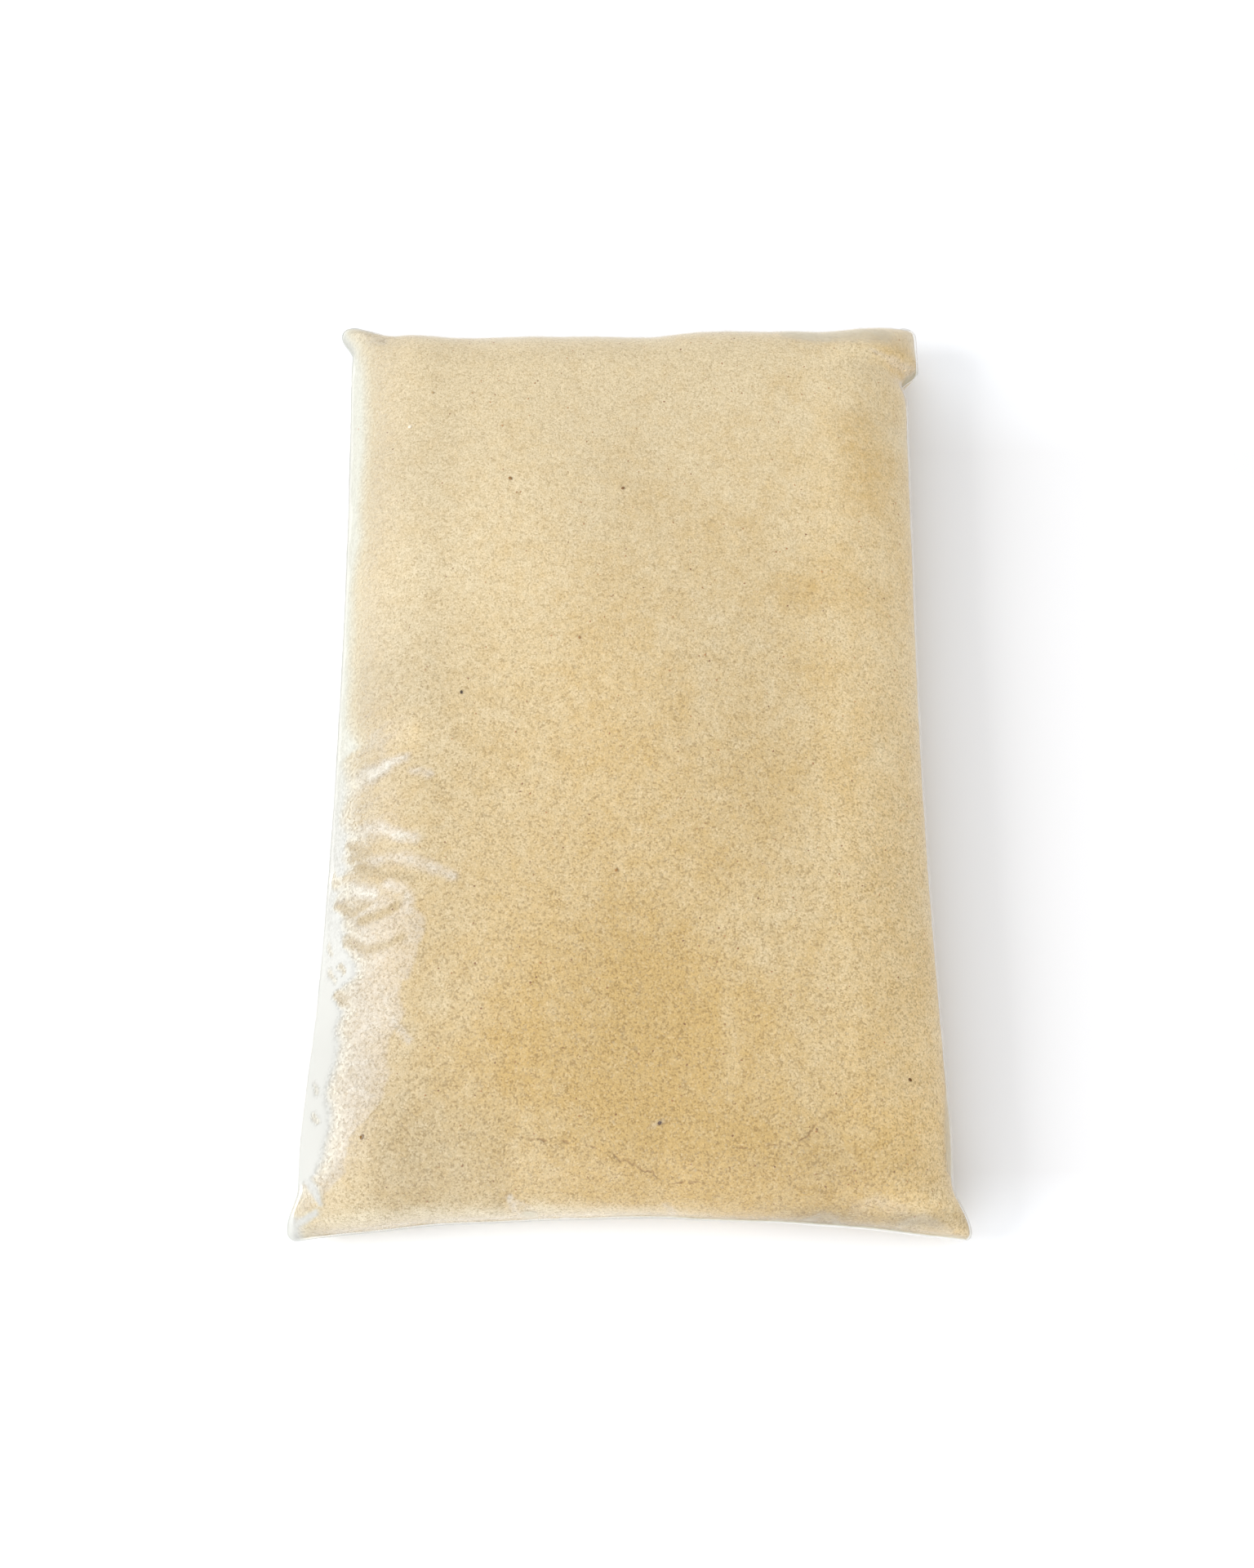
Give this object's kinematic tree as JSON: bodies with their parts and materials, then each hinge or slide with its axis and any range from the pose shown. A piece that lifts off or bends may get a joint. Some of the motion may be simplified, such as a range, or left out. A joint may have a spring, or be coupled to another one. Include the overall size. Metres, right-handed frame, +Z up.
{
  "type": "bag of almond flour",
  "caption": "Filled clear film pillow bag of pale almond flour, lying flat, with sealed ends, creased sides and small flared corner ears.",
  "frame": {"origin": "middle of the bag's length and width, on the surface that it lies on", "axes": "+X across the bag, +Y towards its far sealed end, +Z up from the resting face"},
  "size_m": [0.218, 0.336, 0.0422],
  "materials": {
    "flour": "dry matte meal of fine pale grains",
    "film": "thin clear film, glossy, drawn tight over the flour"
  },
  "bodies": {
    "root": {"flour_bag": "flour"}
  },
  "joints": []
}
